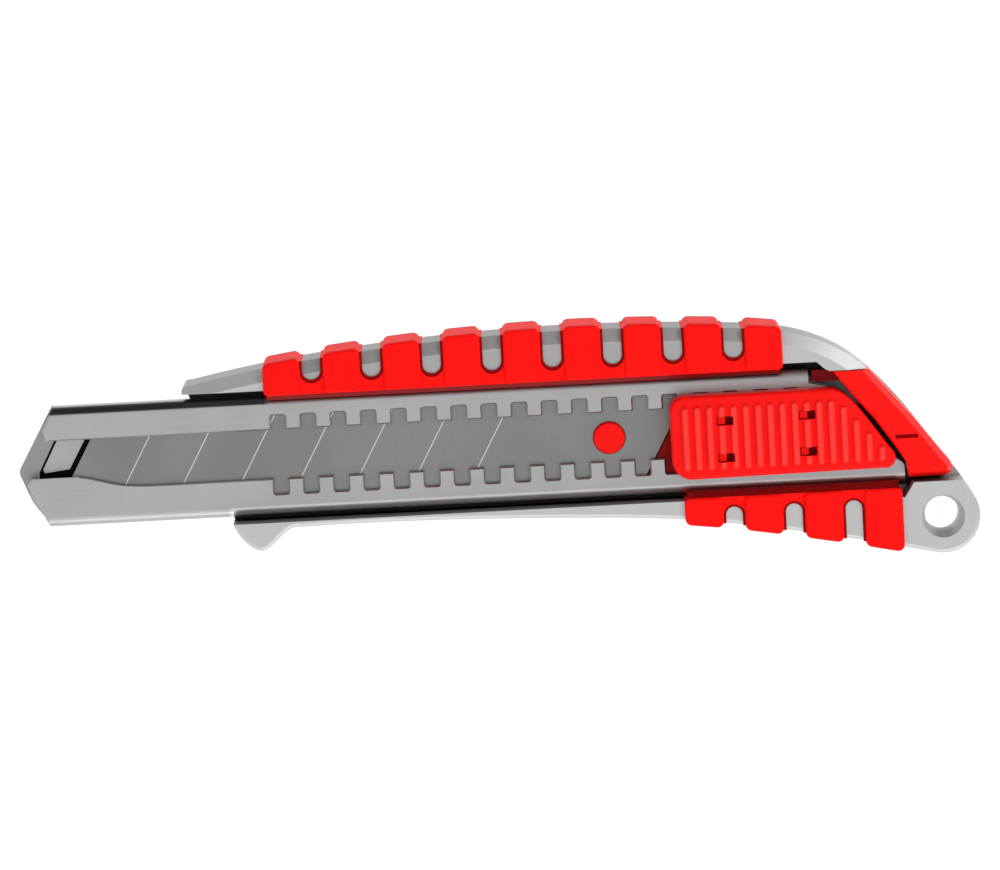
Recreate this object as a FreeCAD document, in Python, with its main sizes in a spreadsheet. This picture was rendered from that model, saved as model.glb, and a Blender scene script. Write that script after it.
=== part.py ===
import FreeCAD, Part
import math
import os
from FreeCAD import Vector

# Snap-off utility knife, lying on its back. +X runs from the blade's tip towards the lanyard
# ring, +Y towards the spine, +Z out of the face that carries the thumb pad. Millimetres.
# The origin is under the middle of the whole knife, on the face that it rests on.

DRIVING_SIZES = [
    # name, value, what it is
    ("blade_wide", 18.0, "height of the blade, cutting edge to back"),
    ("blade_long", 100.0, "length of the blade along its back"),
    ("blade_thick", 0.5, "thickness of the blade"),
    ("blade_z", 8.3, "underside of the blade"),
    ("segment_pitch", 10.0, "distance between two score lines"),
    ("segment_slope", 60.9, "angle of a score line to the blade's length, degrees"),
    ("score_count", 7.0, "score lines"),
    ("score_deep", 0.1, "depth of a score line"),
    ("score_wide", 0.22, "width of a score line"),
    ("edge_bevel", 2.2, "width of the ground cutting edge"),
    ("blade_hole_r", 2.8, "radius of the hole at the blade's tail"),
    ("peg_r", 2.65, "radius of the peg that holds the blade"),
    ("peg_top_z", 9.7, "face of the peg"),
    ("peg_round", 0.35, "rounding of the peg's rim"),
    ("axis_y", 1.2, "height of the blade's centre line"),
    ("blade_tip_x", -71.16, "blade's front edge on the centre line, blade drawn in"),
    ("channel_tall", 20.4, "height of the blade channel over its bends"),
    ("channel_deep", 4.6, "thickness of the blade channel"),
    ("channel_z", 5.2, "back of the blade channel"),
    ("sheet_thick", 0.8, "channel sheet"),
    ("blank_x", -82.0, "front end of the channel's sheet before its nose is cut"),
    ("blank_long", 152.0, "length of the channel's sheet before its ends are cut"),
    ("sheet_break", 0.2, "bevel on the cut edges of the channel's lips"),
    ("groove_deep", 0.55, "depth of the grooves in the channel's nose"),
    ("bend_r", 1.6, "outer radius of the channel's bends"),
    ("upper_lip_y", 5.65, "free edge of the channel's upper lip"),
    ("lower_lip_y", -2.75, "free edge of the channel's lower lip"),
    ("rack_pitch", 5.12, "distance between two rack notches"),
    ("rack_wide", 2.55, "width of a rack notch"),
    ("rack_deep", 2.4, "depth of a rack notch"),
    ("rack_count", 18.0, "notches in each lip"),
    ("rack_start_x", -38.1, "front side of the first notch"),
    ("body_z", 1.0, "back of the handle's bars"),
    ("body_thick", 13.0, "thickness of the handle's bars"),
    ("bar_under_y", 12.75, "underside of the spine bar"),
    ("flange_top_y", -9.75, "top side of the lower bar"),
    ("arc_under_y", 11.1, "underside of the spine bar behind the channel"),
    ("ring_top_y", -8.55, "top side of the lanyard ring's block"),
    ("ring_x", 74.9, "centre of the lanyard hole"),
    ("ring_y", -14.55, "centre of the lanyard hole"),
    ("ring_r", 6.3, "outer radius of the lanyard ring"),
    ("ring_hole_r", 3.65, "lanyard hole at its mouths"),
    ("ring_throat_r", 2.95, "lanyard hole at mid depth"),
    ("ring_throat_long", 4.0, "straight part of the lanyard hole"),
    ("edge_round", 0.7, "rounding of the handle's outer edges"),
    ("facet_wide", 2.2, "width of the slanted facet along the spine's front edge"),
    ("facet_deep", 1.2, "depth of that facet"),
    ("cavity_z", 2.6, "floor of the hollow behind the channel"),
    ("grip_thick", 1.0, "rib height over the bars' faces"),
    ("rib_proud", 0.85, "rib height over the handle's outline"),
    ("strip_thick", 0.45, "height of the strip between the ribs"),
    ("rib_round", 0.5, "rounding of a rib's face"),
    ("ledge_wide", 0.4, "width of the thin rubber ledge round a window between two ribs"),
    ("ledge_thick", 0.25, "thickness of that ledge over the bar's face"),
    ("ledge_proud", 0.1, "height of that ledge over the handle's outline"),
    ("cap_gap", 0.15, "gap round the tail cap"),
    ("cap_facet_wide", 2.0, "width of the slanted facet along the tail cap's outer edge"),
    ("cap_facet_deep", 0.9, "depth of that facet"),
    ("cap_round", 0.6, "rounding of the tail cap's edge beside the pad"),
    ("slit_deep", 2.4, "depth of the slit in the tail cap's face"),
    ("pad_base_z", 10.0, "underside of the thumb pad"),
    ("pad_face_z", 15.0, "face of the thumb pad"),
    ("pad_round", 0.7, "rounding of the pad's face"),
    ("pad_rib_tall", 0.8, "height of the pad's ribs"),
    ("pad_rib_pitch", 2.06, "distance between two pad ribs"),
    ("pad_rib_wide", 1.1, "width of a pad rib"),
    ("pad_rib_round", 0.4, "rounding of a pad rib's crest"),
    ("pad_float", 1.2, "free travel of the pad on the carrier, towards the blade's tip"),
    ("rivet_r", 1.5, "shank radius of a channel rivet"),
    ("rivet_head_r", 2.4, "head radius of a channel rivet"),
    ("rivet_seat", 0.9, "depth of a rivet's seat in the back face"),
    ("leaf_thick", 0.4, "thickness of the lock spring"),
    ("leaf_z", 8.4, "underside of the lock spring, pressed down"),
    ("leaf_wide", 4.4, "width of the lock spring"),
    ("saddle_tall", 1.2, "height of the carrier's saddle inside the pad"),
    ("running_gap", 0.15, "gap round the parts that slide"),
]

doc = FreeCAD.newDocument("utility_knife")
sheet = doc.addObject("Spreadsheet::Sheet", "Sizes")
for row, (alias, number, meaning) in enumerate(DRIVING_SIZES, start=1):
    sheet.set("A%d" % row, meaning)
    sheet.set("B%d" % row, str(number))
    sheet.setAlias("B%d" % row, alias)
doc.recompute()
SIZE = {alias: float(sheet.get(alias)) for alias, _, _ in DRIVING_SIZES}


# levels for cuts: a height over everything, a depth through everything, and the depth from
# that height that reaches through the channel's lips only
OVER_ALL = "20"
THROUGH_ALL = "25"
LIPS_ONLY = "20 - Sizes.channel_z - 1.6"


# ---------------------------------------------------------------- helpers

def at(x, y):
    """A point of a flat outline."""
    return Vector(x, y, 0)


def run(*points):
    """Straight lines from point to point."""
    return [Part.LineSegment(a, b) for a, b in zip(points, points[1:])]


def bow(start, middle, end):
    """One circular arc through three points."""
    return [Part.Arc(start, middle, end)]


def curve(*points):
    """One smooth curve through the points."""
    spline = Part.BSplineCurve()
    spline.interpolate(list(points))
    return [spline]


def corners(*points):
    """Closed outline of straight sides. Each point is x, y and the radius of its corner."""
    sides = []
    joints = []
    for index, (x, y, radius) in enumerate(points):
        before = at(*points[index - 1][:2])
        here = at(x, y)
        after = at(*points[(index + 1) % len(points)][:2])
        if radius == 0:
            joints.append((here, None, here))
            continue
        back = (before - here).normalize()
        ahead = (after - here).normalize()
        half_angle = back.getAngle(ahead) / 2
        reach = radius / math.tan(half_angle)
        inward = (back + ahead).normalize()
        centre = here + inward * (radius / math.sin(half_angle))
        joints.append((here + back * reach, centre - inward * radius, here + ahead * reach))
    for index, (start, middle, end) in enumerate(joints):
        if middle is not None:
            sides += bow(start, middle, end)
        sides += run(end, joints[(index + 1) % len(joints)][0])
    return sides


def box(x_low, y_low, x_high, y_high, radius=0):
    """Closed rectangle."""
    return corners((x_low, y_low, radius), (x_high, y_low, radius),
                   (x_high, y_high, radius), (x_low, y_high, radius))


def circle(x, y, radius):
    return [Part.Circle(at(x, y), Vector(0, 0, 1), radius)]


def new_body(label):
    body = doc.addObject("PartDesign::Body", label)
    body.Label = label
    return body


def plane_of(body, role):
    for feature in body.Origin.OriginFeatures:
        if feature.Role == role:
            return feature
    raise ValueError(role)


def sketch_on(body, name, geometry, level="0", role="XY_Plane"):
    """Sketch on one of the body's own planes, at a level that is an expression."""
    sketch = body.newObject("Sketcher::SketchObject", body.Label + "_" + name)
    sketch.AttachmentSupport = [(plane_of(body, role), "")]
    sketch.MapMode = "FlatFace"
    sketch.setExpression("AttachmentOffset.Base.z", level)
    sketch.addGeometry(geometry, False)
    return sketch


def pad_up(body, name, geometry, level, length, down=False):
    """Raise an outline from a level by a length."""
    sketch = sketch_on(body, name + "_outline", geometry, level)
    feature = body.newObject("PartDesign::Pad", body.Label + "_" + name)
    feature.Profile = sketch
    feature.setExpression("Length", length)
    feature.Reversed = down
    doc.recompute()
    return feature


def cut_down(body, name, geometry, level, length, taper=0):
    """Cut an outline from a level downwards by a length, narrowing by the taper's angle."""
    before = body.Shape.Volume
    sketch = sketch_on(body, name + "_outline", geometry, level)
    feature = body.newObject("PartDesign::Pocket", body.Label + "_" + name)
    feature.Profile = sketch
    feature.setExpression("Length", length)
    feature.TaperAngle = taper
    doc.recompute()
    if not body.Shape.Volume < before:
        raise RuntimeError(feature.Name + " cuts nothing")
    return feature


def repeat(body, features, count, reach):
    """Repeat features along X: count times over the whole reach."""
    pattern = body.newObject("PartDesign::LinearPattern", features[0].Name + "_row")
    pattern.Originals = features
    pattern.Direction = (plane_of(body, "X_Axis"), [""])
    pattern.setExpression("Length", reach)
    pattern.setExpression("Occurrences", count)
    body.Tip = pattern
    doc.recompute()
    return pattern


def flat_edges(shape, z, near=0.02):
    """Names of the edges that lie at height z."""
    names = []
    for index, edge in enumerate(shape.Edges, start=1):
        bounds = edge.BoundBox
        if abs(bounds.ZMin - z) < near and abs(bounds.ZMax - z) < near:
            names.append("Edge%d" % index)
    return names


def edge_near(shape, z, point):
    """Name of the edge at height z whose middle is nearest to a point seen from above."""
    def distance(name):
        middle = shape.Edges[int(name[4:]) - 1].BoundBox.Center
        return (at(middle.x, middle.y) - point).Length

    return min(flat_edges(shape, z), key=distance)


def round_edges(body, name, edge_names, radius):
    base = body.Tip
    feature = body.newObject("PartDesign::Fillet", body.Label + "_" + name)
    feature.Base = (base, edge_names)
    feature.setExpression("Radius", radius)
    doc.recompute()
    if feature.Shape.isNull():
        raise RuntimeError(feature.Name + " has no shape")
    return feature


def bevel_edges(body, name, edge_names, size, depth=None):
    """Bevel edges, with a second distance where a depth is given."""
    base = body.Tip
    feature = body.newObject("PartDesign::Chamfer", body.Label + "_" + name)
    feature.Base = (base, edge_names)
    feature.setExpression("Size", size)
    if depth is not None:
        feature.ChamferType = "Two distances"
        feature.setExpression("Size2", depth)
    doc.recompute()
    if feature.Shape.isNull():
        raise RuntimeError(feature.Name + " has no shape")
    return feature


def height_at(spline, x):
    """Height of an outline curve over a place along the knife."""
    low, high = spline.FirstParameter, spline.LastParameter
    rising = spline.value(high).x > spline.value(low).x
    halvings = 40
    for _ in range(halvings):
        middle = (low + high) / 2
        if (spline.value(middle).x < x) == rising:
            low = middle
        else:
            high = middle
    return spline.value(low).y


# ---------------------------------------------------------------- the handle's outline

NOSE_X = -52.7
RIVET_PLACES = (-28.0, 8.0, 44.0)
RING_TOP_ANGLE = math.radians(30)
RING_LOW_ANGLE = math.radians(-101.6)


def on_ring(angle):
    return at(SIZE["ring_x"] + SIZE["ring_r"] * math.cos(angle),
              SIZE["ring_y"] + SIZE["ring_r"] * math.sin(angle))


SPINE = curve(at(-51.4, 14.15), at(-39.3, 16.35), at(-20.3, 18.65), at(-0.3, 19.95),
              at(10.2, 20.2), at(30.7, 19.75), at(41.2, 19.1), at(49.2, 18.15),
              at(55.0, 16.4), at(60.3, 13.5), at(65.7, 8.5), at(70.7, 2.4),
              at(75.2, -4.0), at(78.8, -8.9), on_ring(RING_TOP_ANGLE))
BELLY = curve(on_ring(RING_LOW_ANGLE), at(61.3, -18.0), at(51.1, -16.0), at(40.9, -14.2),
              at(30.7, -12.85), at(16.7, -11.85), at(-6.3, -10.9), at(-26.0, -10.65),
              at(-33.6, -10.75))
GUARD = curve(at(-33.6, -10.75), at(-36.35, -11.45), at(-38.2, -13.1), at(-40.4, -14.45),
              at(-42.6, -13.5), at(-45.3, -8.6))


def handle_outline():
    nose = bow(at(-52.0, 12.2), at(NOSE_X, 13.2), at(-51.4, 14.15))
    front = run(at(-45.3, -8.6), at(-52.0, 12.2))
    return nose + SPINE + ring_arc() + BELLY + GUARD + front


def cut_spine_facet(body):
    """Slanted facet along the front edge of the spine, down to where the tail cap starts."""
    wide, deep = SIZE["facet_wide"], SIZE["facet_deep"]
    front = SIZE["body_z"] + SIZE["body_thick"]
    spine = SPINE[0].copy()
    start = spine.value(spine.FirstParameter)
    begin = start - spine.tangent(spine.FirstParameter)[0] * 3
    end = at(67, height_at(spine, 67))
    spine.segment(spine.FirstParameter, spine.parameter(end))
    path = sketch_on(body, "facet_path", run(begin, start) + [spine], str(front))
    wedge = corners((begin.y - 1.5 * wide, front + 0.5 * deep, 0),
                    (begin.y + 0.5 * wide, front - 1.5 * deep, 0),
                    (begin.y + 0.5 * wide, front + 0.5 * deep, 0))
    section = sketch_on(body, "facet_section", wedge, str(begin.x), "YZ_Plane")
    before = body.Shape.Volume
    feature = body.newObject("PartDesign::SubtractivePipe", body.Label + "_facet")
    feature.Profile = section
    feature.Spine = (path, ["Edge1", "Edge2"])
    doc.recompute()
    if not body.Shape.Volume < before:
        raise RuntimeError("the spine's facet cuts nothing")


def make_housing():
    """Die-cast handle: spine bar, lower bar with a finger guard, back wall and lanyard ring."""
    body = new_body("housing")
    pad_up(body, "block", handle_outline(), "Sizes.body_z", "Sizes.body_thick")
    front = SIZE["body_z"] + SIZE["body_thick"]
    rims = flat_edges(body.Shape, front) + flat_edges(body.Shape, SIZE["body_z"])
    round_edges(body, "edge_round", rims, "Sizes.edge_round")
    cut_spine_facet(body)
    cut_track(body)
    cut_hollow(body)
    panel = corners((-42, 9.8, 2), (-38, -7.6, 2), (64, -7.6, 3), (56, 9.8, 3))
    pad_up(body, "back_panel", panel, "Sizes.body_z", "Sizes.body_z", down=True)
    cut_rivet_seats(body)
    bore_ring(body)
    return body


def cut_track(body):
    """Bed between the two bars, for the channel and the tail cap."""
    under = SIZE["bar_under_y"]
    flange = SIZE["flange_top_y"]
    ring_top = SIZE["ring_top_y"]
    arc_under = SIZE["arc_under_y"]
    beyond = 95.0
    track = run(at(-beyond, flange), at(67.6, flange), at(67.6, -11.0), at(68.6, -11.0),
                at(70.2, ring_top), at(beyond, ring_top), at(beyond, arc_under),
                at(56.8, arc_under))
    track += bow(at(56.8, arc_under), at(55.9, 11.6), at(55.1, 12.35))
    track += run(at(55.1, 12.35), at(54.6, under), at(-beyond, under), at(-beyond, flange))
    cut_down(body, "track", track, "Sizes.body_z + Sizes.body_thick",
             "Sizes.body_z + Sizes.body_thick - Sizes.channel_z")


def cut_hollow(body):
    """Hollow behind the channel, with a round boss left standing at each rivet."""
    boss_r = 4
    hollow = box(-38, SIZE["axis_y"] - 7.5, 62, SIZE["axis_y"] + 8.5, 2)
    for x in RIVET_PLACES:
        hollow += circle(x, SIZE["axis_y"], boss_r)
    cut_down(body, "hollow", hollow, "Sizes.channel_z", "Sizes.channel_z - Sizes.cavity_z")


def cut_rivet_seats(body):
    """Holes for the channel's rivets, with seats for their heads in the back."""
    holes = []
    seats = []
    for x in RIVET_PLACES:
        holes += circle(x, SIZE["axis_y"], SIZE["rivet_r"])
        seats += circle(x, SIZE["axis_y"], SIZE["rivet_head_r"])
    cut_down(body, "rivet_holes", holes, "Sizes.channel_z", "Sizes.channel_z")
    cut_down(body, "rivet_seats", seats, "Sizes.rivet_seat", "Sizes.rivet_seat")


def ring_arc():
    return bow(on_ring(RING_TOP_ANGLE), on_ring(-0.7), on_ring(RING_LOW_ANGLE))


def bore_ring(body):
    """Lanyard hole: straight at mid depth, flaring towards both faces."""
    middle = SIZE["body_z"] + SIZE["body_thick"] / 2
    throat = SIZE["ring_throat_r"]
    half = SIZE["ring_throat_long"] / 2
    reach = SIZE["body_thick"] / 2
    x = SIZE["ring_x"]
    profile = run(at(x, middle - reach), at(x + SIZE["ring_hole_r"], middle - reach),
                  at(x + throat, middle - half), at(x + throat, middle + half),
                  at(x + SIZE["ring_hole_r"], middle + reach), at(x, middle + reach),
                  at(x, middle - reach))
    before = body.Shape.Volume
    sketch = sketch_on(body, "bore_profile", profile, "-Sizes.ring_y", "XZ_Plane")
    sketch.addGeometry(Part.LineSegment(at(x, 0), at(x, 1)), True)
    feature = body.newObject("PartDesign::Groove", body.Label + "_bore")
    feature.Profile = sketch
    feature.ReferenceAxis = (sketch, ["Axis0"])
    feature.Angle = 360
    doc.recompute()
    if not body.Shape.Volume < before:
        raise RuntimeError("the lanyard hole cuts nothing")


# ---------------------------------------------------------------- channel and its rivets

def slant_line(x_on_axis, y_low, y_high, width):
    """Closed strip along a score line: where it crosses the centre line, and its width."""
    slope = math.tan(math.radians(SIZE["segment_slope"]))

    def x_at(y):
        return x_on_axis + (y - SIZE["axis_y"]) / slope

    return corners((x_at(y_low), y_low, 0), (x_at(y_low) + width, y_low, 0),
                   (x_at(y_high) + width, y_high, 0), (x_at(y_high), y_high, 0))


def channel_profile():
    """C section: back wall, two bends, two lips. Flat x is the knife's Y, flat y its Z."""
    half = SIZE["channel_tall"] / 2
    low, high = SIZE["axis_y"] - half, SIZE["axis_y"] + half
    back, front = SIZE["channel_z"], SIZE["channel_z"] + SIZE["channel_deep"]
    sheet_thick = SIZE["sheet_thick"]
    bend = SIZE["bend_r"]
    inner_bend = bend - sheet_thick
    lower_lip = -0.7
    return corners((low, back, bend), (high, back, bend), (high, front, bend),
                   (SIZE["upper_lip_y"], front, 0),
                   (SIZE["upper_lip_y"], front - sheet_thick, 0),
                   (high - sheet_thick, front - sheet_thick, inner_bend),
                   (high - sheet_thick, back + sheet_thick, inner_bend),
                   (low + sheet_thick, back + sheet_thick, inner_bend),
                   (low + sheet_thick, front - sheet_thick, inner_bend),
                   (lower_lip, front - sheet_thick, 0), (lower_lip, front, 0),
                   (low, front, bend))


def make_channel():
    """Stainless blade channel with a pointed nose and a row of rack notches in both lips."""
    body = new_body("blade_channel")
    sketch = sketch_on(body, "profile", channel_profile(), "Sizes.blank_x", "YZ_Plane")
    pad = body.newObject("PartDesign::Pad", "blade_channel_wall")
    pad.Profile = sketch
    pad.setExpression("Length", "Sizes.blank_long")
    doc.recompute()
    cut_channel_nose(body)
    cut_lower_lip_step(body)
    cut_channel_rear(body)
    bevel_edges(body, "lip_bevel", free_lip_edges(body.Shape), "Sizes.sheet_break")
    cut_channel_nose_grooves(body)
    cut_rack(body)
    sink_channel_rivets(body)
    return body


def cut_channel_nose(body):
    """Pointed nose of the back wall, and the shorter front ends of the two lips."""
    beyond = 20
    nose = corners((-75.1, 11.4, 0), (-81.4, 0.3, 1.6), (-79.3, -5.0, 6), (-76.4, -9.0, 0),
                   (-76.4, -beyond, 0), (-90, -beyond, 0), (-90, beyond, 0),
                   (-75.1, beyond, 0))
    cut_down(body, "nose", nose, OVER_ALL, THROUGH_ALL)
    cut_lip_end(body, "upper_lip_end",
                ((-74.7, 11.6, 0), (-76.85, 7.6, 0.8), (-76.2, 5.2, 0), (-90, 5.2, 0),
                 (-90, beyond, 0), (-74.7, beyond, 0)))
    cut_lip_end(body, "lower_lip_end",
                ((-79.0, -0.4, 0), (-79.9, -1.7, 0.6), (-76.2, -9.2, 0), (-90, -beyond, 0),
                 (-90, 2, 0), (-79.0, 2, 0)))


def cut_lower_lip_step(body):
    """Free edge of the lower lip, sweeping away from the blade's centre line at the nose."""
    lip_y = SIZE["lower_lip_y"]
    sweep = curve(at(-71.0, -0.72), at(-67.6, -1.45), at(-64.9, -2.2), at(-61.0, -2.68),
                  at(-57.0, lip_y))
    step = run(at(-57.0, lip_y), at(90, lip_y), at(90, 0), at(-71.0, 0), at(-71.0, -0.72))
    cut_down(body, "lower_lip_step", sweep + step, OVER_ALL, LIPS_ONLY)


def cut_channel_rear(body):
    """Rear end of the channel, sloping along the tail cap."""
    beyond = 20
    rear = corners((53.3, beyond, 0), (53.3, 8.8, 0), (56.7, 8.0, 0.5), (66.3, -4.0, 1.2),
                   (68.9, -5.7, 0.8), (69.25, -beyond, 0), (90, -beyond, 0), (90, beyond, 0))
    cut_down(body, "rear", rear, OVER_ALL, THROUGH_ALL)


def sink_channel_rivets(body):
    """Countersunk rivet holes in the channel's floor."""
    holes = []
    for x in RIVET_PLACES:
        holes += circle(x, SIZE["axis_y"], SIZE["rivet_r"])
    cut_down(body, "rivet_holes", holes, OVER_ALL, THROUGH_ALL)
    rims = []
    for index, edge in enumerate(body.Shape.Edges, start=1):
        round_rim = isinstance(edge.Curve, Part.Circle)
        is_rim = round_rim and abs(edge.Curve.Radius - SIZE["rivet_r"]) < 0.01
        if is_rim and abs(edge.BoundBox.ZMin - SIZE["channel_z"] - SIZE["sheet_thick"]) < 0.01:
            rims.append("Edge%d" % index)
    bevel_edges(body, "rivet_sinks", rims, "Sizes.sheet_thick * 0.9")


def cut_lip_end(body, name, points):
    """Trim the front end of a lip and bevel the edge that this leaves."""
    cut_down(body, name, corners(*points), OVER_ALL, LIPS_ONLY)
    shift = 2 * SIZE["sheet_break"]
    moved = corners(*[(x + shift, y, radius) for x, y, radius in points])
    cut_down(body, name + "_bevel", moved, "Sizes.channel_z + Sizes.channel_deep",
             "Sizes.sheet_break", taper=-45)


def free_lip_edges(shape):
    """Names of the lips' free edges along the channel, on the side that shows."""
    front = SIZE["channel_z"] + SIZE["channel_deep"]
    names = []
    for name in flat_edges(shape, front):
        bounds = shape.Edges[int(name[4:]) - 1].BoundBox
        between_lips = SIZE["lower_lip_y"] - 0.1 < bounds.Center.y < SIZE["upper_lip_y"] + 0.1
        if between_lips and bounds.XLength > 10:
            names.append(name)
    return names


def cut_rack(body):
    """Row of bevelled notches in both lips."""
    wide = SIZE["rack_wide"]
    start = SIZE["rack_start_x"]
    brk = SIZE["sheet_break"]
    notches = []
    mouths = []
    for free_edge, root in ((SIZE["upper_lip_y"] - 1, SIZE["upper_lip_y"] + SIZE["rack_deep"]),
                            (SIZE["lower_lip_y"] + 1,
                             SIZE["lower_lip_y"] - SIZE["rack_deep"] - 0.25)):
        low, high = sorted((free_edge, root))
        notches += box(start, low, start + wide, high, 0.35)
        mouths += box(start - brk, low - brk, start + wide + brk, high + brk, 0.35 + brk)
    notch = cut_down(body, "notch", notches, OVER_ALL, LIPS_ONLY)
    mouth = cut_down(body, "notch_bevel", mouths, "Sizes.channel_z + Sizes.channel_deep",
                     "Sizes.sheet_break", taper=-45)
    repeat(body, [notch, mouth], "Sizes.rack_count",
           "Sizes.rack_pitch * (Sizes.rack_count - 1)")


def cut_channel_nose_grooves(body):
    """Grooves round the raised tongue in front of the blade's tip."""
    grooves = corners((-73.9, 7.6, 0), (-77.9, 0, 0), (-77.9, -1.1, 0), (-68.6, -1.1, 0),
                      (-66.5, 7.6, 0), (-68.6, 7.6, 0), (-72.7, 0.35, 0), (-77.0, -0.15, 0.2),
                      (-77.2, 0.5, 0), (-73.4, 7.6, 0))
    cut_down(body, "tongue_grooves", grooves, "Sizes.channel_z + Sizes.sheet_thick",
             "Sizes.groove_deep")


def make_rivets():
    """Three rivets that hold the channel to the handle, countersunk into its floor."""
    head = SIZE["rivet_head_r"]
    shank = SIZE["rivet_r"]
    seat = SIZE["rivet_seat"]
    floor = SIZE["channel_z"]
    sink = SIZE["sheet_thick"] * 0.9
    top = floor + SIZE["sheet_thick"]
    profile = Part.makePolygon([Vector(0, 0, 0.1), Vector(head, 0, 0.1), Vector(head, 0, seat),
                                Vector(shank, 0, seat), Vector(shank, 0, top - sink),
                                Vector(shank + sink, 0, top), Vector(0, 0, top),
                                Vector(0, 0, 0.1)])
    rivet = Part.Face(profile).revolve(Vector(0, 0, 0), Vector(0, 0, 1), 360)
    rivets = []
    for x in RIVET_PLACES:
        copy = rivet.copy()
        copy.translate(Vector(x, SIZE["axis_y"], 0))
        rivets.append(copy)
    group = doc.addObject("Part::Feature", "channel_rivets")
    group.Label = "channel_rivets"
    group.Shape = Part.makeCompound(rivets)
    group.Placement = FreeCAD.Placement()
    return group


# ---------------------------------------------------------------- blade

def make_blade():
    """Snap-off blade: ground edge, slanted ends, score lines and the tail hole."""
    body = new_body("blade")
    half = SIZE["blade_wide"] / 2
    low, high = SIZE["axis_y"] - half, SIZE["axis_y"] + half
    back, front = SIZE["blade_z"], SIZE["blade_z"] + SIZE["blade_thick"]
    middle = (back + front) / 2
    edge_half = 0.03
    section = corners((low, middle - edge_half, 0), (low + SIZE["edge_bevel"], back, 0),
                      (high, back, 0), (high, front, 0), (low + SIZE["edge_bevel"], front, 0),
                      (low, middle + edge_half, 0))
    sketch = sketch_on(body, "section", section, "Sizes.blade_tip_x - 10", "YZ_Plane")
    pad = body.newObject("PartDesign::Pad", "blade_bar")
    pad.Profile = sketch
    pad.setExpression("Length", "Sizes.blade_long + 20")
    doc.recompute()
    tail_x = SIZE["blade_tip_x"] + SIZE["blade_long"]
    ends = slant_line(SIZE["blade_tip_x"] - 30, low - 1, high + 1, 30)
    ends += slant_line(tail_x, low - 1, high + 1, 30)
    cut_down(body, "ends", ends, OVER_ALL, THROUGH_ALL)
    hole = circle(PEG_X, SIZE["axis_y"], SIZE["blade_hole_r"])
    cut_down(body, "hole", hole, OVER_ALL, THROUGH_ALL)
    first = SIZE["blade_tip_x"] + SIZE["segment_pitch"]
    score = slant_line(first - SIZE["score_wide"] / 2, low - 1, high + 1, SIZE["score_wide"])
    groove = cut_down(body, "score", score, "Sizes.blade_z + Sizes.blade_thick",
                      "Sizes.score_deep")
    repeat(body, [groove], "Sizes.score_count", "Sizes.segment_pitch * (Sizes.score_count - 1)")
    return body


# ---------------------------------------------------------------- carrier and lock

PEG_X = 19.15
LUG_X = 39.98
LEAF_END_X = 55.0
LEAF_RIVET_X = 53.0
CARRIER_BACK_X = 57.5
SADDLE_FRONT_X = 34.0
PAD_WINDOWS = ((37.3, 4.4), (37.3, -1.85), (51.2, 4.7), (51.2, -1.5))
WINDOW_LONG = 2.8
WINDOW_TALL = 1.5


def make_carrier():
    """Moulded blade carrier: tongue and peg under the blade, saddle and hooks under the pad."""
    body = new_body("blade_carrier")
    raise_carrier_base(body)
    raise_peg(body)
    raise_saddle(body)
    cut_lock_bays(body)
    return body


def carrier_sides():
    """Lower and upper side of the carrier's block between the channel's bends."""
    half = SIZE["channel_tall"] / 2 - SIZE["sheet_thick"] - 3 * SIZE["running_gap"]
    return SIZE["axis_y"] - half, SIZE["axis_y"] + half


def raise_carrier_base(body):
    """Tongue that lies under the blade, and the block behind the blade's slanted tail."""
    gap = SIZE["running_gap"]
    low, high = carrier_sides()
    slope = math.tan(math.radians(SIZE["segment_slope"]))
    tail_x = SIZE["blade_tip_x"] + SIZE["blade_long"] + 2 * gap

    def tail_at(y):
        return tail_x + (y - SIZE["axis_y"]) / slope

    tongue = corners((12.5, SIZE["axis_y"] - 4, 3), (30, SIZE["axis_y"] - 7, 0),
                     (40, SIZE["axis_y"] - 7, 0), (40, SIZE["axis_y"] + 7, 0),
                     (30, SIZE["axis_y"] + 7, 0), (12.5, SIZE["axis_y"] + 4, 3))
    pad_up(body, "tongue", tongue, "Sizes.channel_z + Sizes.sheet_thick + Sizes.running_gap",
           "Sizes.blade_z - Sizes.channel_z - Sizes.sheet_thick - 1.4 * Sizes.running_gap")
    block = corners((tail_at(low), low, 0), (CARRIER_BACK_X, low, 1), (CARRIER_BACK_X, 4, 1),
                    (52, high, 1), (tail_at(high), high, 0))
    pad_up(body, "block", block, "Sizes.channel_z + Sizes.sheet_thick + Sizes.running_gap",
           "Sizes.channel_deep - 2 * Sizes.sheet_thick - 2 * Sizes.running_gap")


def raise_peg(body):
    """Peg that holds the blade by its tail hole."""
    pad_up(body, "peg", circle(PEG_X, SIZE["axis_y"], SIZE["peg_r"]), "Sizes.blade_z - 0.4",
           "Sizes.peg_top_z - Sizes.blade_z + 0.4")
    peg_rim = edge_near(body.Shape, SIZE["peg_top_z"], at(PEG_X, SIZE["axis_y"]))
    round_edges(body, "peg_round", [peg_rim], "Sizes.peg_round")


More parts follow.
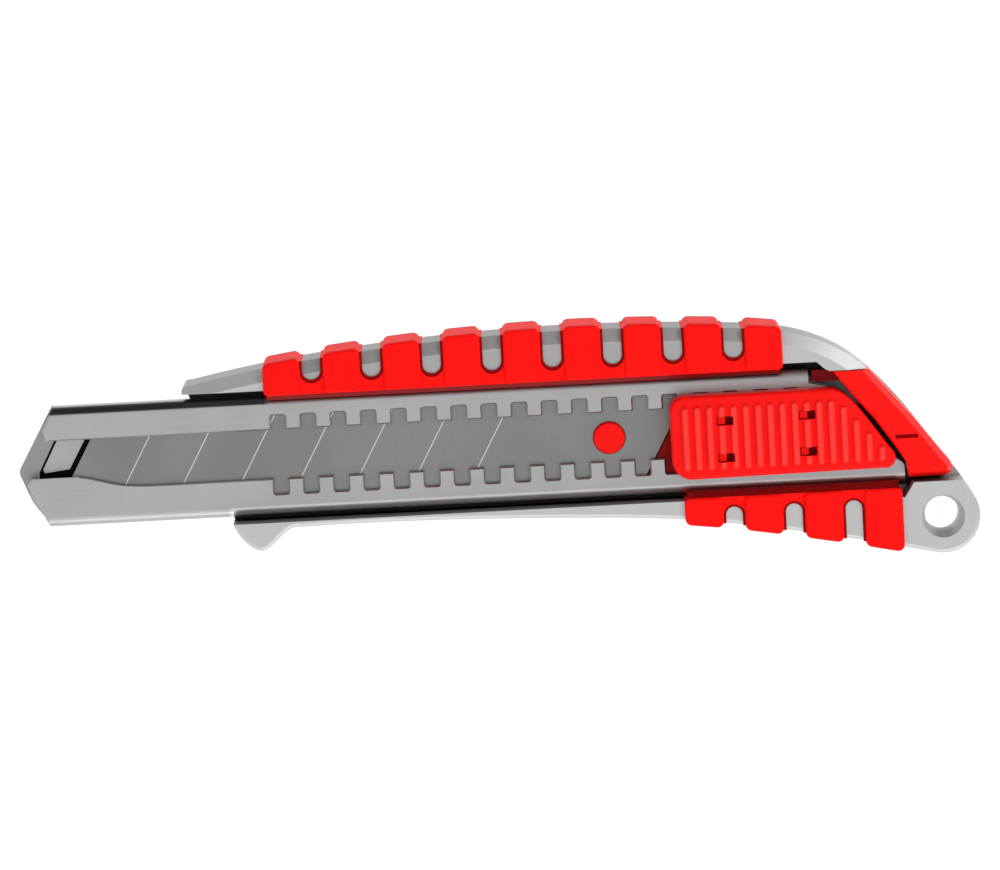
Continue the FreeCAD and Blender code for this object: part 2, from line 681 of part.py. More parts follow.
def raise_saddle(body):
    """Neck between the lips, and the saddle and hooks that the thumb pad snaps on to."""
    gap = SIZE["running_gap"]
    neck = box(33, SIZE["lower_lip_y"] + 2 * gap, CARRIER_BACK_X, SIZE["upper_lip_y"] - 2 * gap)
    pad_up(body, "neck", neck, "Sizes.leaf_z", "Sizes.pad_base_z - Sizes.leaf_z")
    saddle = box(SADDLE_FRONT_X, -3.7, CARRIER_BACK_X, 6.4, 0.5)
    pad_up(body, "saddle", saddle, "Sizes.pad_base_z", "Sizes.saddle_tall")
    hooks = []
    for x, y in PAD_WINDOWS:
        hooks += box(x + gap, y - WINDOW_TALL + gap, x + WINDOW_LONG - SIZE["pad_float"] - gap,
                     y - gap, 0.2)
    pad_up(body, "hooks", hooks, "Sizes.pad_base_z + 1",
           "Sizes.pad_face_z - Sizes.pad_base_z - 1.5")


def cut_lock_bays(body):
    """Slot for the lock spring, bay for its lugs and hole for its rivet."""
    gap = SIZE["running_gap"]
    low, high = carrier_sides()
    leaf_half = SIZE["leaf_wide"] / 2 + gap
    slot = box(LUG_X - 3.0, SIZE["axis_y"] - leaf_half, LEAF_END_X + 0.5,
               SIZE["axis_y"] + leaf_half)
    lug_bay = box(LUG_X - 1.7, low - 1, LUG_X + 1.7, high + 1)
    for name, bay in (("leaf_slot", slot), ("lug_bay", lug_bay)):
        cut_down(body, name, bay, "Sizes.pad_base_z", "Sizes.pad_base_z - Sizes.leaf_z + 0.3")
    hole = circle(LEAF_RIVET_X, SIZE["axis_y"], 0.7)
    cut_down(body, "rivet_hole", hole, "Sizes.leaf_z", "1.6")


def make_lock_spring():
    """Leaf spring with two side lugs that catch in the rack notches, drawn pressed down."""
    body = new_body("lock_spring")
    half = SIZE["leaf_wide"] / 2
    leaf = box(LUG_X - 2.4, SIZE["axis_y"] - half, LEAF_END_X, SIZE["axis_y"] + half, 0.4)
    pad_up(body, "leaf", leaf, "Sizes.leaf_z", "Sizes.leaf_thick")
    lugs = box(LUG_X - 1.0, SIZE["lower_lip_y"] - SIZE["rack_deep"], LUG_X + 1.0,
               SIZE["upper_lip_y"] + SIZE["rack_deep"] - 0.25, 0.3)
    pad_up(body, "lugs", lugs, "Sizes.leaf_z", "Sizes.leaf_thick")
    hole = circle(LEAF_RIVET_X, SIZE["axis_y"], 0.9)
    cut_down(body, "rivet_hole", hole, OVER_ALL, THROUGH_ALL)
    return body


def make_spring_rivet():
    """Rivet at the root of the lock spring."""
    body = new_body("spring_rivet")
    pad_up(body, "shank", circle(LEAF_RIVET_X, SIZE["axis_y"], 0.7), "Sizes.leaf_z - 1.5", "2.1")
    pad_up(body, "head", circle(LEAF_RIVET_X, SIZE["axis_y"], 1.5), "Sizes.leaf_z + 0.6", "0.6")
    return body


# ---------------------------------------------------------------- thumb pad and tail cap

PAD_RIB_COUNT = 17
PAD_RIB_START = 32.0


def make_thumb_pad():
    """Ribbed thumb pad with four snap windows."""
    body = new_body("thumb_pad")
    outline = pad_outline()
    pad_up(body, "block", outline, "Sizes.pad_base_z", "Sizes.pad_face_z - Sizes.pad_base_z")
    rim = flat_edges(body.Shape, SIZE["pad_face_z"])
    round_edges(body, "face_round", rim, "Sizes.pad_round")
    add_pad_ribs(body)
    play = 0.3
    cavity = box(SADDLE_FRONT_X - play, -4.4, CARRIER_BACK_X + SIZE["pad_float"] + play, 7.0, 0.5)
    cut_down(body, "cavity", cavity, "Sizes.pad_base_z + 1.6", "1.6")
    windows = []
    for x, y in PAD_WINDOWS:
        windows += box(x, y - WINDOW_TALL, x + WINDOW_LONG, y, 0.2)
    cut_down(body, "windows", windows, OVER_ALL, THROUGH_ALL)
    return body


def add_pad_ribs(body):
    """Cross ribs with round crests, shorter where the pad's rear slopes away."""
    ribs = []
    half_wide = SIZE["pad_rib_wide"] / 2
    for number in range(PAD_RIB_COUNT):
        centre = PAD_RIB_START + number * SIZE["pad_rib_pitch"]
        top = min(6.2, 5.2 - 1.145 * (centre - 58.7))
        ribs += box(centre - half_wide, -4.5, centre + half_wide, top, 0.5)
    pad_up(body, "ribs", ribs, "Sizes.pad_face_z - 0.3", "Sizes.pad_rib_tall + 0.3")
    crests = flat_edges(body.Shape, SIZE["pad_face_z"] + SIZE["pad_rib_tall"])
    round_edges(body, "rib_round", crests, "Sizes.pad_rib_round")


def pad_outline():
    """Outline of the thumb pad: square front with round corners, sloping rear."""
    slope = curve(at(57.0, 8.1), at(59.2, 7.0), at(61.6, 4.4), at(63.7, 1.5), at(66.9, -3.0))
    foot = bow(at(66.9, -3.0), at(67.0, -5.0), at(65.2, -5.75))
    base = run(at(65.2, -5.75), at(32.4, -6.1))
    lower_corner = bow(at(32.4, -6.1), at(30.4, -5.0), at(29.5, -2.4))
    front = run(at(29.5, -2.4), at(29.5, 5.2))
    upper_corner = bow(at(29.5, 5.2), at(30.1, 7.2), at(31.6, 8.1))
    top = run(at(31.6, 8.1), at(57.0, 8.1))
    return slope + foot + base + lower_corner + front + upper_corner + top


def make_tail_cap():
    """Tail cap that closes the end of the channel, following the spine's slope."""
    gap = SIZE["cap_gap"]
    top = SIZE["arc_under_y"] - gap
    bottom = SIZE["ring_top_y"] + 0.75
    body = new_body("tail_cap")
    outline = corners((57.3, top, 0), (63.45, top, 0), (70.6, 2.45, 15), (75.4, -4.0, 15),
                      (78.5, bottom, 1.5), (69.5, bottom, 0), (69.0, -5.0, 1.5),
                      (67.4, -2.4, 6), (63.9, 2.7, 15), (60.7, 6.5, 15))
    pad_up(body, "block", outline, "Sizes.channel_z + Sizes.cap_gap",
           "Sizes.body_z + Sizes.body_thick - Sizes.channel_z - Sizes.cap_gap")
    face = SIZE["body_z"] + SIZE["body_thick"]
    outer_side = edge_near(body.Shape, face, at(67.0, 6.7))
    bevel_edges(body, "facet", [outer_side], "Sizes.cap_facet_wide", "Sizes.cap_facet_deep")
    inner_side = edge_near(body.Shape, face, at(65.6, 0.2))
    round_edges(body, "face_round", [inner_side], "Sizes.cap_round")
    key = box(53.9, 9.0, 59.5, top, 0.2)
    pad_up(body, "key", key, "Sizes.channel_z + Sizes.cap_gap", "4.5")
    slit = box(67.4, -1.0, 71.2, -0.3, 0.1)
    cut_down(body, "slit", slit, "Sizes.body_z + Sizes.body_thick", "Sizes.slit_deep")
    return body


# ---------------------------------------------------------------- grips

def rib_spans(first, pitch, count, width):
    return [(first + number * pitch, first + number * pitch + width) for number in range(count)]


UPPER_RIBS = rib_spans(-38.85, 10.19, 9, 6.3)
LOWER_RIBS = rib_spans(31.25, 10.12, 4, 6.5)


def make_upper_grip(housing):
    """Rubber grip over the spine bar: nine ribs joined by a strip along the channel."""
    body = new_body("upper_grip_block")
    under = 11.85
    beyond = 30
    ribs = []
    for low, high in UPPER_RIBS:
        rise = SIZE["rib_proud"]
        ribs += corners((low, under, 0.8), (high, under, 0.8),
                        (high, height_at(SPINE[0], high) + rise, 1.1),
                        (low, height_at(SPINE[0], low) + rise, 1.1))
    add_ribs(body, ribs)
    left, right = UPPER_RIBS[0][0] + 0.5, UPPER_RIBS[-1][1] - 0.5
    add_strip(body, box(left, under, right, 15.6))
    add_ledge_sheet(body, SPINE[0], left, right, SIZE["ledge_proud"], 14.5)
    floor = 13.65
    outer = []
    inner = []
    ledge = SIZE["ledge_wide"]
    for (_, low), (high, _) in zip(UPPER_RIBS, UPPER_RIBS[1:]):
        outer += corners((low, floor, 1.9), (high, floor, 1.9), (high, beyond, 0),
                         (low, beyond, 0))
        inner += corners((low + ledge, floor + 1.5 * ledge, 1.5),
                         (high - ledge, floor + 1.5 * ledge, 1.5),
                         (high - ledge, beyond, 0), (low + ledge, beyond, 0))
    cut_windows(body, outer, inner)
    add_skirt(body, left, right, (SIZE["bar_under_y"], 10.75, under))
    return fit_over(housing, body, "upper_grip")


def make_lower_grip(housing):
    """Rubber grip over the rear of the lower bar: four ribs joined by a strip."""
    body = new_body("lower_grip_block")
    top = SIZE["flange_top_y"] + 0.45
    beyond = -40
    ribs = []
    for low, high in LOWER_RIBS:
        drop = SIZE["rib_proud"]
        ribs += corners((low, height_at(BELLY[0], low) - drop, 1.1),
                        (high, height_at(BELLY[0], high) - drop, 1.1),
                        (high, top, 0.8), (low, top, 0.8))
    add_ribs(body, ribs)
    left, right = LOWER_RIBS[0][0] + 0.5, LOWER_RIBS[-1][1] - 0.5
    add_strip(body, box(left, -12.6, right, top))
    add_ledge_sheet(body, BELLY[0], left, right, -SIZE["ledge_proud"], -11.0)
    roof = -10.65
    outer = []
    inner = []
    ledge = SIZE["ledge_wide"]
    for (_, low), (high, _) in zip(LOWER_RIBS, LOWER_RIBS[1:]):
        outer += corners((low, beyond, 0), (high, beyond, 0), (high, roof, 1.75),
                         (low, roof, 1.75))
        inner += corners((low + ledge, beyond, 0), (high - ledge, beyond, 0),
                         (high - ledge, roof - ledge, 1.4), (low + ledge, roof - ledge, 1.4))
    cut_windows(body, outer, inner)
    add_skirt(body, left, right, (SIZE["flange_top_y"], -8.4, top))
    return fit_over(housing, body, "lower_grip")


def add_ribs(body, outlines):
    """Ribs right round a bar, with rounded rims on both faces."""
    pad_up(body, "ribs", outlines, "0", "Sizes.body_z + Sizes.body_thick + Sizes.grip_thick")
    front = SIZE["body_z"] + SIZE["body_thick"] + SIZE["grip_thick"]
    rims = flat_edges(body.Shape, 0) + flat_edges(body.Shape, front)
    round_edges(body, "rib_round", rims, "Sizes.rib_round")


def add_strip(body, outline):
    """Strip that joins the ribs on both faces."""
    pad_up(body, "strip", outline, "Sizes.body_z - Sizes.strip_thick",
           "Sizes.body_thick + 2 * Sizes.strip_thick")


def add_ledge_sheet(body, edge_curve, left, right, proud, inside):
    """Thin skin over the bar, of which only a ledge is left beside each rib."""
    skin = edge_curve.copy()
    skin.translate(at(0, proud))
    ends = [skin.parameter(at(x, height_at(edge_curve, x) + proud)) for x in (left, right)]
    skin.segment(min(ends), max(ends))
    first, last = skin.value(skin.FirstParameter), skin.value(skin.LastParameter)
    outline = [skin] + run(last, at(last.x, inside), at(first.x, inside), first)
    pad_up(body, "ledge_sheet", outline, "Sizes.body_z - Sizes.ledge_thick",
           "Sizes.body_thick + 2 * Sizes.ledge_thick")


def cut_windows(body, outer, inner):
    """Windows between the ribs, with a thin ledge of rubber left round the bare metal."""
    cut_down(body, "front_windows", outer, OVER_ALL,
             OVER_ALL + " - Sizes.body_z - Sizes.body_thick - Sizes.ledge_thick")
    cut_down(body, "back_windows", outer, "Sizes.body_z - Sizes.ledge_thick", THROUGH_ALL)
    cut_down(body, "windows", inner, OVER_ALL, THROUGH_ALL)


def add_skirt(body, left, right, levels):
    """Sloping lip of a grip that reaches over the channel's bend: bar side, tip, face."""
    bar_side, tip, face = levels
    low = SIZE["channel_z"] + SIZE["channel_deep"] + 0.1
    high = SIZE["body_z"] + SIZE["body_thick"] + SIZE["strip_thick"] * 0.5
    profile = run(at(bar_side, low), at(tip, low), at(tip, low + 0.7), at(face, high),
                  at(bar_side, high), at(bar_side, low))
    sketch = sketch_on(body, "skirt_outline", profile, str(left), "YZ_Plane")
    feature = body.newObject("PartDesign::Pad", body.Label + "_skirt")
    feature.Profile = sketch
    feature.Length = right - left
    doc.recompute()


def fit_over(housing, block, label):
    """Hollow a grip's block by the handle that it is moulded over."""
    grip = doc.addObject("Part::Cut", label)
    grip.Label = label
    grip.Base = block
    grip.Tool = housing
    doc.recompute()
    return grip


# ---------------------------------------------------------------- build, check and write

housing_body = make_housing()
SUB_PARTS = [
    housing_body, make_channel(), make_rivets(), make_upper_grip(housing_body),
    make_lower_grip(housing_body), make_tail_cap(), make_blade(), make_carrier(),
    make_lock_spring(), make_spring_rivet(), make_thumb_pad(),
]
doc.recompute()
for item in doc.Objects:
    if "Invalid" in item.State or "Error" in item.State:
        raise RuntimeError("%s did not rebuild: %s" % (item.Name, item.State))
for sub_part in SUB_PARTS:
    if sub_part.Shape.isNull() or not sub_part.Shape.isValid():
        raise RuntimeError(sub_part.Label + " has no valid shape")
os.makedirs("parts", exist_ok=True)
for sub_part in SUB_PARTS:
    sub_part.Shape.exportStep("parts/%s.step" % sub_part.Label)
    bounds = sub_part.Shape.BoundBox
    print("%-16s %2d solid(s) %9.1f mm3  x %6.2f..%6.2f  y %6.2f..%6.2f  z %5.2f..%5.2f" % (
        sub_part.Label, len(sub_part.Shape.Solids), sub_part.Shape.Volume, bounds.XMin,
        bounds.XMax, bounds.YMin, bounds.YMax, bounds.ZMin, bounds.ZMax))
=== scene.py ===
import math

import bpy
from mathutils import Matrix, Vector


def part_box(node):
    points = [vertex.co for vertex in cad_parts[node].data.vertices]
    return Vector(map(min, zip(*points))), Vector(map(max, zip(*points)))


# Looks of a snap-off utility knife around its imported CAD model. Metres, in the CAD frame:
# +X towards the lanyard ring, +Y towards the spine, +Z out of the face with the thumb pad.
# Material sizes and places are in millimetres of that frame.

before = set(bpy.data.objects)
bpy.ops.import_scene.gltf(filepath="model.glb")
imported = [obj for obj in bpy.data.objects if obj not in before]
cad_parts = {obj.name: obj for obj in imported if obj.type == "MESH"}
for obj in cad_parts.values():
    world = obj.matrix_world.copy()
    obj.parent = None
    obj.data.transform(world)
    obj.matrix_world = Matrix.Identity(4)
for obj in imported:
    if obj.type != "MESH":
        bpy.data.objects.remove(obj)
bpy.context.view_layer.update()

MM = 0.001
CAMERA_DISTANCE = 1.25
CAMERA_LIFT = math.radians(6.0)
CAMERA_ROLL = math.radians(3.0)
VIEW_WIDTH = 169.5 * MM
AIM = Vector((0.66, 2.75, 10.0)) * MM
FLOOR_HALF = 3.0
FLOOR_BELOW = 0.02 * MM
FLOOR_GLOW = 0.95
STUDIO_STRENGTH = 1.22
STUDIO_SIDES = (-0.55, 0.75)
STUDIO_LEVELS = (1.0, 0.30)
KEY_WATTS = 2.2
FILL_WATTS = 2.0

# Where the tones change on the knife, in millimetres. A line is a slope and a limit: the place is
# in front of it where X + slope * Y is below the limit.
BETWEEN_BARS_Y = (-9.78, 12.78)
BED_Z = (5.0, 8.5)
TAIL_CAP_LINE = (0.763, 69.5)
UPPER_RIBS_X = (-38.0, 48.5)
TONGUE_LINE = (-0.526, -77.75)
TONGUE_Y = (-1.2, 7.7)
NOSE_PLATE_Y = (-8.0, 10.3)
NOSE_PLATE_Z = (5.9, 6.4)
GROOVE_Z = (5.3, 5.75)
UPPER_BEND_Y = (10.15, 11.15)
LOWER_BEND_Y = (-8.8, -7.9)
PAD_RIBS_Y = (-4.6, 6.4)
PAD_WINDOWS_X = (37.2, 54.1)
PAD_WINDOWS_Y = (-3.4, 4.8)
SHARP = 0.1


def grey(level):
    return (level, level, level, 1.0)


# ---------------------------------------------------------------- camera, floor and light

def make_camera():
    """Camera in front of the pad's face, a little towards the spine, slightly rolled."""
    data = bpy.data.cameras.new("camera")
    data.sensor_width = 36.0
    data.lens = data.sensor_width * CAMERA_DISTANCE / VIEW_WIDTH
    data.clip_start = 0.05
    data.clip_end = 20.0
    camera = bpy.data.objects.new("camera", data)
    bpy.context.collection.objects.link(camera)
    back = Vector((0.0, math.sin(CAMERA_LIFT), math.cos(CAMERA_LIFT)))
    level_right = Vector((1.0, 0.0, 0.0))
    level_up = back.cross(level_right)
    right = math.cos(CAMERA_ROLL) * level_right - math.sin(CAMERA_ROLL) * level_up
    up = math.sin(CAMERA_ROLL) * level_right + math.cos(CAMERA_ROLL) * level_up
    turn = Matrix((right, up, back)).transposed().to_4x4()
    camera.matrix_world = Matrix.Translation(AIM + back * CAMERA_DISTANCE) @ turn
    bpy.context.scene.camera = camera


def make_floor():
    """Plain white floor under the knife, lit from within like a light table."""
    half = FLOOR_HALF
    mesh = bpy.data.meshes.new("floor")
    mesh.from_pydata([(-half, -half, 0), (half, -half, 0), (half, half, 0), (-half, half, 0)],
                     [], [(0, 1, 2, 3)])
    floor = bpy.data.objects.new("floor", mesh)
    bpy.context.collection.objects.link(floor)
    floor.location.z = -FLOOR_BELOW
    material = bpy.data.materials.new("floor_white")
    material.use_nodes = True
    shader = material.node_tree.nodes["Principled BSDF"]
    shader.inputs["Base Color"].default_value = grey(0.18)
    shader.inputs["Roughness"].default_value = 0.9
    shader.inputs["Specular IOR Level"].default_value = 0.0
    shader.inputs["Emission Color"].default_value = grey(1.0)
    shader.inputs["Emission Strength"].default_value = FLOOR_GLOW
    mesh.materials.append(material)


def make_area_light(name, place, size, watts):
    """Rectangular soft light that looks at the knife."""
    data = bpy.data.lights.new(name, "AREA")
    data.shape = "RECTANGLE"
    data.size, data.size_y = size
    data.energy = watts
    light = bpy.data.objects.new(name, data)
    bpy.context.collection.objects.link(light)
    light.location = place
    light.rotation_mode = "QUATERNION"
    light.rotation_quaternion = (-Vector(place)).to_track_quat("-Z", "Y")


def make_surroundings():
    """Studio all round: bright on the side of the cutting edge, dim beyond the spine."""
    world = bpy.data.worlds.new("studio")
    world.use_nodes = True
    nodes, links = world.node_tree.nodes, world.node_tree.links
    direction = nodes.new("ShaderNodeTexCoord")
    parts = nodes.new("ShaderNodeSeparateXYZ")
    links.new(direction.outputs["Generated"], parts.inputs["Vector"])
    ramp = nodes.new("ShaderNodeMapRange")
    ramp.interpolation_type = "SMOOTHSTEP"
    for socket, number in zip(ramp.inputs[1:5], STUDIO_SIDES + STUDIO_LEVELS):
        socket.default_value = number
    links.new(parts.outputs["Y"], ramp.inputs["Value"])
    links.new(ramp.outputs["Result"], nodes["Background"].inputs["Color"])
    nodes["Background"].inputs["Strength"].default_value = STUDIO_STRENGTH
    bpy.context.scene.world = world


def make_lights():
    make_surroundings()
    make_area_light("key", (0.60, 0.55, 0.60), (0.45, 0.25), KEY_WATTS)
    make_area_light("fill", (0.3, -0.9, 0.6), (1.0, 0.4), FILL_WATTS)
    bpy.context.scene.view_settings.view_transform = "Standard"


# ---------------------------------------------------------------- material helpers

class Paint:
    """Builds one node material."""

    def __init__(self, name):
        self.material = bpy.data.materials.new(name)
        self.material.use_nodes = True
        self.nodes = self.material.node_tree.nodes
        self.links = self.material.node_tree.links
        self.shader = self.nodes["Principled BSDF"]

    def set(self, **sockets):
        for name, value in sockets.items():
            self.shader.inputs[name.replace("_", " ")].default_value = value
        return self

    def node(self, kind, settings=None, sockets=()):
        """Node with settings, and with its sockets (number or name, value or link) filled."""
        node = self.nodes.new(kind)
        for name, value in (settings or {}).items():
            setattr(node, name, value)
        for key, value in sockets:
            if isinstance(value, bpy.types.NodeSocket):
                self.links.new(value, node.inputs[key])
            else:
                node.inputs[key].default_value = value
        return node

    def place(self, stretch=(1.0, 1.0, 1.0)):
        """Place on the knife in millimetres, stretched."""
        coordinates = self.node("ShaderNodeTexCoord")
        scale = tuple(part / MM for part in stretch)
        return self.node("ShaderNodeMapping", None,
                         (("Vector", coordinates.outputs["Object"]),
                          ("Scale", scale))).outputs["Vector"]

    def along(self, axis):
        """One coordinate of the place: X, Y or Z, in millimetres."""
        return self.node("ShaderNodeSeparateXYZ", None,
                         (("Vector", self.place()),)).outputs[axis]

    def noise(self, scale, detail=2.0, stretch=(1.0, 1.0, 1.0)):
        return self.node("ShaderNodeTexNoise", None,
                         (("Vector", self.place(stretch)), ("Scale", scale),
                          ("Detail", detail))).outputs["Fac"]

    def ramp(self, value, start, end, low=0.0, high=1.0):
        """Number that goes from low to high while value goes from start to end."""
        return self.node("ShaderNodeMapRange", None,
                         ((0, value), (1, start), (2, end), (3, low),
                          (4, high))).outputs["Result"]

    def spread(self, noise, low, high):
        return self.ramp(noise, 0.3, 0.7, low, high)

    def both(self, first, second):
        """Product of two masks."""
        return self.node("ShaderNodeMath", {"operation": "MULTIPLY"},
                         ((0, first), (1, second))).outputs[0]

    def either(self, first, second):
        """The larger of two masks."""
        return self.node("ShaderNodeMath", {"operation": "MAXIMUM"},
                         ((0, first), (1, second))).outputs[0]

    def band(self, axis, reach, soft):
        """Mask that is 1 from the start to the end of a reach along an axis, with soft sides."""
        start, end = reach
        value = self.along(axis)
        rise = self.ramp(value, start - soft, start)
        return self.both(rise, self.ramp(value, end, end + soft, 1.0, 0.0))

    def facing_spine(self, most):
        """Mask of the surfaces that face +Y."""
        start, end = 0.75, 0.97
        normal = self.node("ShaderNodeTexCoord").outputs["Normal"]
        across = self.node("ShaderNodeSeparateXYZ", None, (("Vector", normal),)).outputs["Y"]
        return self.ramp(across, start, end, 0.0, most)

    def before_line(self, line, soft):
        """Mask of the places in front of a slanting line."""
        slope, limit = line
        across = self.node("ShaderNodeMath", {"operation": "MULTIPLY_ADD"},
                           ((0, self.along("Y")), (1, slope), (2, self.along("X"))))
        return self.ramp(across.outputs[0], limit - soft, limit, 1.0, 0.0)

    def blend(self, factor, first, second):
        """Colour between first and second."""
        return self.node("ShaderNodeMix", {"data_type": "RGBA"},
                         ((0, factor), (6, first), (7, second))).outputs[2]

    def finish(self, colour, roughness, height=None, distance=0.01):
        """Connect the colour, the roughness and a fine relief in millimetres."""
        self.links.new(colour, self.shader.inputs["Base Color"])
        self.links.new(roughness, self.shader.inputs["Roughness"])
        if height is not None:
            relief = self.node("ShaderNodeBump", None,
                               (("Height", height), ("Distance", distance * MM)))
            self.links.new(relief.outputs["Normal"], self.shader.inputs["Normal"])
        return self.material


# ---------------------------------------------------------------- metals

def silver_paint():
    """Silver paint over die-cast metal, with painted shade between the ribs and on top, and near-black
    painted shade in the bed.
    """
    paint = Paint("silver_paint").set(Metallic=0.55)
    grain = paint.noise(7.0, 3.0)
    cloud = paint.noise(0.4)
    fine = paint.blend(paint.spread(grain, 0.0, 1.0), grey(0.46), grey(0.57))
    body = paint.blend(paint.spread(cloud, 0.0, 0.3), fine, grey(0.52))
    # Painted shade on the metal between the upper ribs.
    shade_between_ribs = paint.both(paint.band("X", UPPER_RIBS_X, 0.3),
                              paint.ramp(paint.along("Y"), 13.0, 13.4, 0.0, 0.6))
    body = paint.blend(shade_between_ribs, body, grey(0.30))
    # Painted shade on the faces towards the spine, which makes the top band darker.
    body = paint.blend(paint.facing_spine(0.75), body, grey(0.16))
    # Painted shade, near black, in the bed of the track between the bars, in front of the tail cap.
    bed = paint.both(paint.band("Y", BETWEEN_BARS_Y, 0.03), paint.band("Z", BED_Z, 1.0))
    bed = paint.both(bed, paint.before_line(TAIL_CAP_LINE, 1.0))
    return paint.finish(paint.blend(bed, body, grey(0.012)),
                        paint.spread(grain, 0.34, 0.46), grain, 0.02)


def stainless():
    """Satin stainless sheet, brushed lengthwise, with painted shade in the grooves and on the nose
    plate, a painted dark reflection on the upper bend and a painted reflection of light on the lower
    bend.
    """
    paint = Paint("satin_stainless").set(Metallic=1.0)
    lines = paint.noise(6.0, 3.0, (0.03, 1.0, 1.0))
    cloud = paint.noise(0.12, 1.0)
    satin = paint.blend(paint.spread(lines, 0.0, 1.0), grey(0.39), grey(0.43))
    satin = paint.blend(paint.spread(cloud, 0.0, 1.0), satin, grey(0.44))
    # Painted reflection of light on the lower bend, from X -45 mm towards the tail.
    lower_bend_reflection = paint.both(paint.band("Y", LOWER_BEND_Y, 0.7),
                            paint.ramp(paint.along("X"), -46.0, -45.0))
    satin = paint.blend(lower_bend_reflection, satin, grey(0.85))
    # Painted shade, near black, in the grooves round the tongue at the nose.
    grooves = paint.both(paint.band("Z", GROOVE_Z, SHARP),
                         paint.ramp(paint.along("X"), -60.0, -59.0, 1.0, 0.0))
    grooves = paint.both(grooves, paint.band("Y", TONGUE_Y, SHARP))
    # Painted shade on the nose plate, which lies lower than the lips.
    plate = paint.both(paint.before_line(TONGUE_LINE, SHARP), paint.band("Z", NOSE_PLATE_Z, SHARP))
    plate = paint.both(plate, paint.band("Y", NOSE_PLATE_Y, SHARP))
    satin = paint.blend(plate, satin, grey(0.31))
    # Painted dark reflection on the upper bend, from the nose to the first rib.
    bend = paint.both(paint.band("Y", UPPER_BEND_Y, 0.2),
                      paint.ramp(paint.along("X"), -39.0, -38.0, 1.0, 0.0))
    bend = paint.both(bend, paint.ramp(paint.along("Z"), 7.6, 8.0))
    # Shade holds the painted shade of the grooves and the painted dark reflection on the upper bend.
    shade = paint.either(grooves, paint.both(bend, paint.ramp(lines, 0.0, 1.0, 0.85, 0.95)))
    return paint.finish(paint.blend(shade, satin, grey(0.006)),
                        paint.spread(lines, 0.30, 0.38), lines, 0.002)


def blade_steel():
    """Ground blade steel, bright where it is scored."""
    paint = Paint("blade_steel").set(Metallic=1.0)
    lines = paint.noise(7.0, 3.0, (1.0, 0.06, 1.0))
    cloud = paint.noise(0.06, 1.0)
    ground = paint.blend(paint.spread(lines, 0.0, 1.0), grey(0.245), grey(0.275))
    ground = paint.blend(paint.spread(cloud, 0.0, 1.0), ground, grey(0.23))
    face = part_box("blade")[1].z / MM
    score = paint.band("Z", (face - 0.12, face - 0.05), 0.04)
    return paint.finish(paint.blend(score, ground, grey(0.64)),
                        paint.spread(lines, 0.36, 0.44), lines, 0.002)


def plain_steel(name, low, high):
    """Bare steel of the small parts."""
    paint = Paint(name).set(Metallic=1.0)
    spots = paint.noise(3.0, 3.0)
    return paint.finish(paint.blend(paint.spread(spots, 0.0, 1.0), grey(low), grey(high)),
                        paint.spread(spots, 0.28, 0.42), spots, 0.01)


# ---------------------------------------------------------------- plastics and rubber

RED = (1.0, 0.006, 0.004, 1.0)
# Lighter red for a painted highlight.
HIGHLIGHT_RED = (1.0, 0.045, 0.036, 1.0)
SHADE_RED = (0.27, 0.001, 0.001, 1.0)
# Dark red for painted shade on the walls in the pad's windows.
SHADED_WALL_RED = (0.62, 0.002, 0.004, 1.0)


class RedPaint(Paint):
    """Moulded red plastic or rubber: a little mottled, with a fine moulded grain."""

    def __init__(self, name, gloss):
        super().__init__(name)
        self.set(Specular_IOR_Level=gloss)
        self.grain = self.noise(6.0, 3.0)
        cloud = self.noise(0.3)
        deep = tuple(part * 0.93 for part in RED[:3]) + (1.0,)
        self.tone = self.blend(self.spread(cloud, 0.0, 1.0), deep, RED)

    def shade(self, mask, colour):
        """Lay another tone over the colour where the mask is."""
        self.tone = self.blend(mask, self.tone, colour)
        return self

    def done(self, rough, grain_height):
        return self.finish(self.tone, self.spread(self.grain, rough - 0.05, rough + 0.05),
                           self.grain, grain_height)


def grip_rubber(name, skirt):
    """Grip rubber, with painted shade on the thin ledges round the windows and on the skirt."""
    paint = RedPaint(name, 0.06)
    height = paint.along("Z")
    # Painted shade on the thin ledges round the windows, front and back. It is picked by height alone,
    # so it also darkens the ribs' sides at those heights.
    front_ledge = paint.both(paint.ramp(height, 14.28, 14.36, 1.0, 0.0),
                             paint.ramp(height, 13.6, 13.7))
    back_ledge = paint.both(paint.ramp(height, 0.64, 0.72), paint.ramp(height, 1.3, 1.4, 1.0, 0.0))
    paint.shade(paint.either(front_ledge, back_ledge), SHADE_RED)
    # Painted shade on the skirt that faces the channel.
    paint.shade(paint.both(skirt(paint), paint.ramp(height, 14.15, 14.3, 1.0, 0.0)), SHADE_RED)
    return paint.done(0.52, 0.008)


def upper_grip_rubber():
    return grip_rubber("upper_grip_rubber",
                       lambda paint: paint.ramp(paint.along("Y"), 11.8, 11.95, 1.0, 0.0))


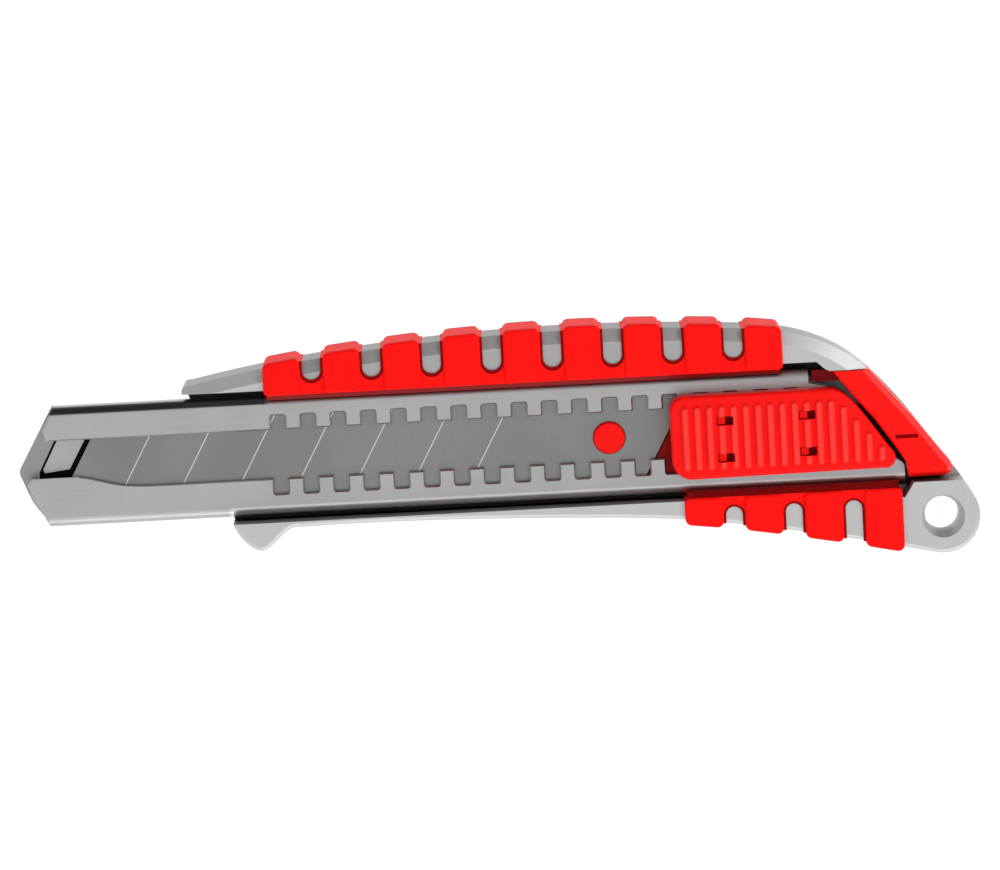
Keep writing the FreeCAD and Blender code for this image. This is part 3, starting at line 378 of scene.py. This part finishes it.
def lower_grip_rubber():
    return grip_rubber("lower_grip_rubber",
                       lambda paint: paint.ramp(paint.along("Y"), -9.4, -9.25))


def pad_plastic():
    """Pad plastic, with a painted highlight on the crests of the ribs and painted shade on the window
    walls.
    """
    paint = RedPaint("pad_plastic", 0.1)
    height = paint.along("Z")
    on_ribs = paint.band("Y", PAD_RIBS_Y, 0.2)
    # Painted highlight on the crests of the ribs.
    paint.shade(paint.both(on_ribs, paint.ramp(height, 15.35, 15.75)), HIGHLIGHT_RED)
    in_windows = paint.both(paint.band("X", PAD_WINDOWS_X, SHARP), paint.band("Y", PAD_WINDOWS_Y, 0.05))
    # Painted shade on the walls inside the windows.
    paint.shade(paint.both(in_windows, paint.ramp(height, 14.5, 14.9, 1.0, 0.0)), SHADED_WALL_RED)
    return paint.done(0.34, 0.005)


def cap_plastic():
    """Cap plastic, with painted shade on the key in the channel's recess."""
    paint = RedPaint("cap_plastic", 0.1)
    # Painted shade on the key, low in the channel's recess.
    key = paint.both(paint.ramp(paint.along("X"), 60.0, 60.6, 1.0, 0.0),
                     paint.ramp(paint.along("Z"), 10.0, 10.4, 1.0, 0.0))
    paint.shade(key, SHADE_RED)
    return paint.done(0.32, 0.005)


def carrier_plastic():
    """Carrier plastic: bright peg, saddle and hooks, with painted shade where it lies in the channel.
    """
    paint = RedPaint("carrier_plastic", 0.1)
    # Painted shade on the part behind the blade's tail, low in the channel.
    behind = paint.ramp(paint.along("X"), 25.0, 26.0)
    deep = paint.ramp(paint.along("Z"), 10.6, 10.9, 1.0, 0.0)
    paint.shade(paint.both(behind, deep), SHADE_RED)
    return paint.done(0.34, 0.005)


def paint_nodes():
    """Give every CAD node its material."""
    finishes = {
        "housing": silver_paint(),
        "blade_channel": stainless(),
        "channel_rivets": plain_steel("rivet_steel", 0.45, 0.60),
        "upper_grip": upper_grip_rubber(),
        "lower_grip": lower_grip_rubber(),
        "tail_cap": cap_plastic(),
        "blade": blade_steel(),
        "blade_carrier": carrier_plastic(),
        "lock_spring": plain_steel("spring_steel", 0.35, 0.45),
        "spring_rivet": plain_steel("spring_rivet_steel", 0.42, 0.55),
        "thumb_pad": pad_plastic(),
    }
    for name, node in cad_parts.items():
        node.data.materials.clear()
        node.data.materials.append(finishes[name])


make_camera()
make_floor()
make_lights()
paint_nodes()
